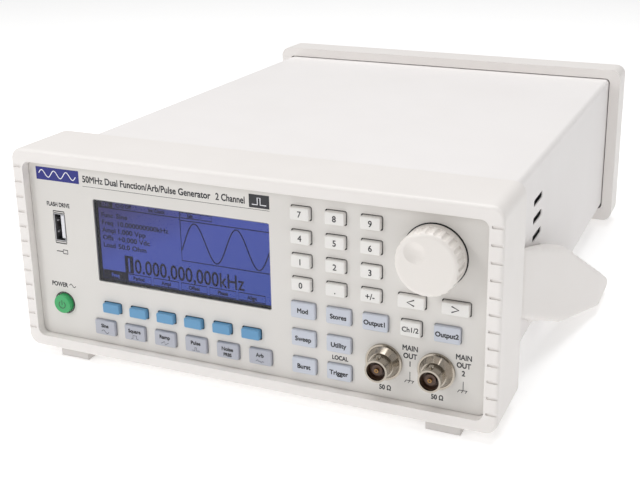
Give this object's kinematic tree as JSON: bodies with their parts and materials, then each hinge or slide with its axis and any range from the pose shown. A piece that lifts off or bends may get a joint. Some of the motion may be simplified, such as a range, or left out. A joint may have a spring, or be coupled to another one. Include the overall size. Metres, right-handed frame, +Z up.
{
  "type": "function generator",
  "caption": "Bench function generator: shallow sheet-metal case between moulded bezels, keyed front panel with display, knob and two coaxial outputs, and a tilt handle.",
  "frame": {"origin": "under the middle of the instrument, on the surface that its feet stand on", "axes": "+X to the right as seen from the front, +Y from the front panel to the rear panel, +Z up"},
  "size_m": [0.2578, 0.3026, 0.1005],
  "materials": {
    "blue_key": "satin moulded plastic, printed legend",
    "white_key": "satin moulded plastic, dark printed legend",
    "lilac_key": "satin moulded plastic, dark printed legend",
    "green_button": "smooth moulded plastic",
    "warm_white_plastic": "fine spark-eroded texture, slight gloss",
    "panel_overlay": "matt polycarbonate overlay, dark printed legends",
    "clear_window": "clear scratch-resistant window",
    "lcd_glass": "blue-backlit graphic display",
    "nickel": "bright nickel plate",
    "brown_insulator": "moulded insulator with gilt contact",
    "steel": "zinc-plated steel",
    "circuit_board": "green solder resist",
    "white_paint": "fine-textured powder coat",
    "black_plastic": "moulded black plastic",
    "grey_rubber": "soft grey elastomer"
  },
  "bodies": {
    "instrument": {"front_bezel": "warm_white_plastic", "rear_bezel": "warm_white_plastic", "front_panel": "panel_overlay", "display_window": "clear_window", "lcd_module": "lcd_glass", "output_sockets": "nickel", "output_socket_nuts": "nickel", "output_socket_cores": "brown_insulator", "usb_socket": "steel", "keypad_board": "circuit_board", "main_board": "circuit_board", "power_supply": "circuit_board", "top_cover": "white_paint", "base_tray": "white_paint", "rear_panel": "white_paint", "rear_sockets": "black_plastic", "fan_housing": "black_plastic", "handle_pivots": "warm_white_plastic", "feet": "grey_rubber", "case_screws": "steel"},
    "soft_key_1": {"soft_key_1": "blue_key"},
    "soft_key_2": {"soft_key_2": "blue_key"},
    "soft_key_3": {"soft_key_3": "blue_key"},
    "soft_key_4": {"soft_key_4": "blue_key"},
    "soft_key_5": {"soft_key_5": "blue_key"},
    "soft_key_6": {"soft_key_6": "blue_key"},
    "key_sine": {"key_sine": "lilac_key"},
    "key_square": {"key_square": "lilac_key"},
    "key_ramp": {"key_ramp": "lilac_key"},
    "key_pulse": {"key_pulse": "lilac_key"},
    "key_noise": {"key_noise": "lilac_key"},
    "key_arb": {"key_arb": "lilac_key"},
    "key_0": {"key_0": "white_key"},
    "key_point": {"key_point": "white_key"},
    "key_sign": {"key_sign": "white_key"},
    "key_1": {"key_1": "white_key"},
    "key_2": {"key_2": "white_key"},
    "key_3": {"key_3": "white_key"},
    "key_4": {"key_4": "white_key"},
    "key_5": {"key_5": "white_key"},
    "key_6": {"key_6": "white_key"},
    "key_7": {"key_7": "white_key"},
    "key_8": {"key_8": "white_key"},
    "key_9": {"key_9": "white_key"},
    "key_burst": {"key_burst": "lilac_key"},
    "key_trigger": {"key_trigger": "lilac_key"},
    "key_sweep": {"key_sweep": "lilac_key"},
    "key_utility": {"key_utility": "lilac_key"},
    "key_mod": {"key_mod": "lilac_key"},
    "key_stores": {"key_stores": "lilac_key"},
    "key_output_1": {"key_output_1": "lilac_key"},
    "key_left": {"key_left": "white_key"},
    "key_right": {"key_right": "white_key"},
    "key_channel": {"key_channel": "white_key"},
    "key_output_2": {"key_output_2": "lilac_key"},
    "power_button": {"power_button": "green_button"},
    "knob": {"control_knob": "warm_white_plastic", "encoder_shaft": "steel"},
    "fan_rotor": {"fan_rotor": "black_plastic"},
    "tilt_handle": {"tilt_handle": "warm_white_plastic"}
  },
  "joints": [
    {"name": "soft_key_1_press", "type": "slide", "parent": "instrument", "child": "soft_key_1", "axis": [0, 1, 0], "range_m": [0, 0.0012], "stiffness_N_per_m": 700, "springref_m": -0.0005},
    {"name": "soft_key_2_press", "type": "slide", "parent": "instrument", "child": "soft_key_2", "axis": [0, 1, 0], "range_m": [0, 0.0012], "stiffness_N_per_m": 700, "springref_m": -0.0005},
    {"name": "soft_key_3_press", "type": "slide", "parent": "instrument", "child": "soft_key_3", "axis": [0, 1, 0], "range_m": [0, 0.0012], "stiffness_N_per_m": 700, "springref_m": -0.0005},
    {"name": "soft_key_4_press", "type": "slide", "parent": "instrument", "child": "soft_key_4", "axis": [0, 1, 0], "range_m": [0, 0.0012], "stiffness_N_per_m": 700, "springref_m": -0.0005},
    {"name": "soft_key_5_press", "type": "slide", "parent": "instrument", "child": "soft_key_5", "axis": [0, 1, 0], "range_m": [0, 0.0012], "stiffness_N_per_m": 700, "springref_m": -0.0005},
    {"name": "soft_key_6_press", "type": "slide", "parent": "instrument", "child": "soft_key_6", "axis": [0, 1, 0], "range_m": [0, 0.0012], "stiffness_N_per_m": 700, "springref_m": -0.0005},
    {"name": "key_sine_press", "type": "slide", "parent": "instrument", "child": "key_sine", "axis": [0, 1, 0], "range_m": [0, 0.0012], "stiffness_N_per_m": 700, "springref_m": -0.0005},
    {"name": "key_square_press", "type": "slide", "parent": "instrument", "child": "key_square", "axis": [0, 1, 0], "range_m": [0, 0.0012], "stiffness_N_per_m": 700, "springref_m": -0.0005},
    {"name": "key_ramp_press", "type": "slide", "parent": "instrument", "child": "key_ramp", "axis": [0, 1, 0], "range_m": [0, 0.0012], "stiffness_N_per_m": 700, "springref_m": -0.0005},
    {"name": "key_pulse_press", "type": "slide", "parent": "instrument", "child": "key_pulse", "axis": [0, 1, 0], "range_m": [0, 0.0012], "stiffness_N_per_m": 700, "springref_m": -0.0005},
    {"name": "key_noise_press", "type": "slide", "parent": "instrument", "child": "key_noise", "axis": [0, 1, 0], "range_m": [0, 0.0012], "stiffness_N_per_m": 700, "springref_m": -0.0005},
    {"name": "key_arb_press", "type": "slide", "parent": "instrument", "child": "key_arb", "axis": [0, 1, 0], "range_m": [0, 0.0012], "stiffness_N_per_m": 700, "springref_m": -0.0005},
    {"name": "key_0_press", "type": "slide", "parent": "instrument", "child": "key_0", "axis": [0, 1, 0], "range_m": [0, 0.0012], "stiffness_N_per_m": 700, "springref_m": -0.0005},
    {"name": "key_point_press", "type": "slide", "parent": "instrument", "child": "key_point", "axis": [0, 1, 0], "range_m": [0, 0.0012], "stiffness_N_per_m": 700, "springref_m": -0.0005},
    {"name": "key_sign_press", "type": "slide", "parent": "instrument", "child": "key_sign", "axis": [0, 1, 0], "range_m": [0, 0.0012], "stiffness_N_per_m": 700, "springref_m": -0.0005},
    {"name": "key_1_press", "type": "slide", "parent": "instrument", "child": "key_1", "axis": [0, 1, 0], "range_m": [0, 0.0012], "stiffness_N_per_m": 700, "springref_m": -0.0005},
    {"name": "key_2_press", "type": "slide", "parent": "instrument", "child": "key_2", "axis": [0, 1, 0], "range_m": [0, 0.0012], "stiffness_N_per_m": 700, "springref_m": -0.0005},
    {"name": "key_3_press", "type": "slide", "parent": "instrument", "child": "key_3", "axis": [0, 1, 0], "range_m": [0, 0.0012], "stiffness_N_per_m": 700, "springref_m": -0.0005},
    {"name": "key_4_press", "type": "slide", "parent": "instrument", "child": "key_4", "axis": [0, 1, 0], "range_m": [0, 0.0012], "stiffness_N_per_m": 700, "springref_m": -0.0005},
    {"name": "key_5_press", "type": "slide", "parent": "instrument", "child": "key_5", "axis": [0, 1, 0], "range_m": [0, 0.0012], "stiffness_N_per_m": 700, "springref_m": -0.0005},
    {"name": "key_6_press", "type": "slide", "parent": "instrument", "child": "key_6", "axis": [0, 1, 0], "range_m": [0, 0.0012], "stiffness_N_per_m": 700, "springref_m": -0.0005},
    {"name": "key_7_press", "type": "slide", "parent": "instrument", "child": "key_7", "axis": [0, 1, 0], "range_m": [0, 0.0012], "stiffness_N_per_m": 700, "springref_m": -0.0005},
    {"name": "key_8_press", "type": "slide", "parent": "instrument", "child": "key_8", "axis": [0, 1, 0], "range_m": [0, 0.0012], "stiffness_N_per_m": 700, "springref_m": -0.0005},
    {"name": "key_9_press", "type": "slide", "parent": "instrument", "child": "key_9", "axis": [0, 1, 0], "range_m": [0, 0.0012], "stiffness_N_per_m": 700, "springref_m": -0.0005},
    {"name": "key_burst_press", "type": "slide", "parent": "instrument", "child": "key_burst", "axis": [0, 1, 0], "range_m": [0, 0.0012], "stiffness_N_per_m": 700, "springref_m": -0.0005},
    {"name": "key_trigger_press", "type": "slide", "parent": "instrument", "child": "key_trigger", "axis": [0, 1, 0], "range_m": [0, 0.0012], "stiffness_N_per_m": 700, "springref_m": -0.0005},
    {"name": "key_sweep_press", "type": "slide", "parent": "instrument", "child": "key_sweep", "axis": [0, 1, 0], "range_m": [0, 0.0012], "stiffness_N_per_m": 700, "springref_m": -0.0005},
    {"name": "key_utility_press", "type": "slide", "parent": "instrument", "child": "key_utility", "axis": [0, 1, 0], "range_m": [0, 0.0012], "stiffness_N_per_m": 700, "springref_m": -0.0005},
    {"name": "key_mod_press", "type": "slide", "parent": "instrument", "child": "key_mod", "axis": [0, 1, 0], "range_m": [0, 0.0012], "stiffness_N_per_m": 700, "springref_m": -0.0005},
    {"name": "key_stores_press", "type": "slide", "parent": "instrument", "child": "key_stores", "axis": [0, 1, 0], "range_m": [0, 0.0012], "stiffness_N_per_m": 700, "springref_m": -0.0005},
    {"name": "key_output_1_press", "type": "slide", "parent": "instrument", "child": "key_output_1", "axis": [0, 1, 0], "range_m": [0, 0.0012], "stiffness_N_per_m": 700, "springref_m": -0.0005},
    {"name": "key_left_press", "type": "slide", "parent": "instrument", "child": "key_left", "axis": [0, 1, 0], "range_m": [0, 0.0012], "stiffness_N_per_m": 700, "springref_m": -0.0005},
    {"name": "key_right_press", "type": "slide", "parent": "instrument", "child": "key_right", "axis": [0, 1, 0], "range_m": [0, 0.0012], "stiffness_N_per_m": 700, "springref_m": -0.0005},
    {"name": "key_channel_press", "type": "slide", "parent": "instrument", "child": "key_channel", "axis": [0, 1, 0], "range_m": [0, 0.0012], "stiffness_N_per_m": 700, "springref_m": -0.0005},
    {"name": "key_output_2_press", "type": "slide", "parent": "instrument", "child": "key_output_2", "axis": [0, 1, 0], "range_m": [0, 0.0012], "stiffness_N_per_m": 700, "springref_m": -0.0005},
    {"name": "power_button_press", "type": "slide", "parent": "instrument", "child": "power_button", "axis": [0, 1, 0], "range_m": [0, 0.0025], "stiffness_N_per_m": 800, "springref_m": -0.001},
    {"name": "knob_turn", "type": "hinge", "parent": "instrument", "child": "knob", "pos_m": [0.0852, -0.13975, 0.076], "axis": [0, 1, 0], "continuous": true},
    {"name": "fan_spin", "type": "hinge", "parent": "instrument", "child": "fan_rotor", "pos_m": [-0.0335, 0.12765, 0.0565], "axis": [0, 1, 0], "continuous": true},
    {"name": "handle_tilt", "type": "hinge", "parent": "instrument", "child": "tilt_handle", "pos_m": [0, -0.06875, 0.0375], "axis": [-1, 0, 0], "range_deg": [0, 100]}
  ]
}
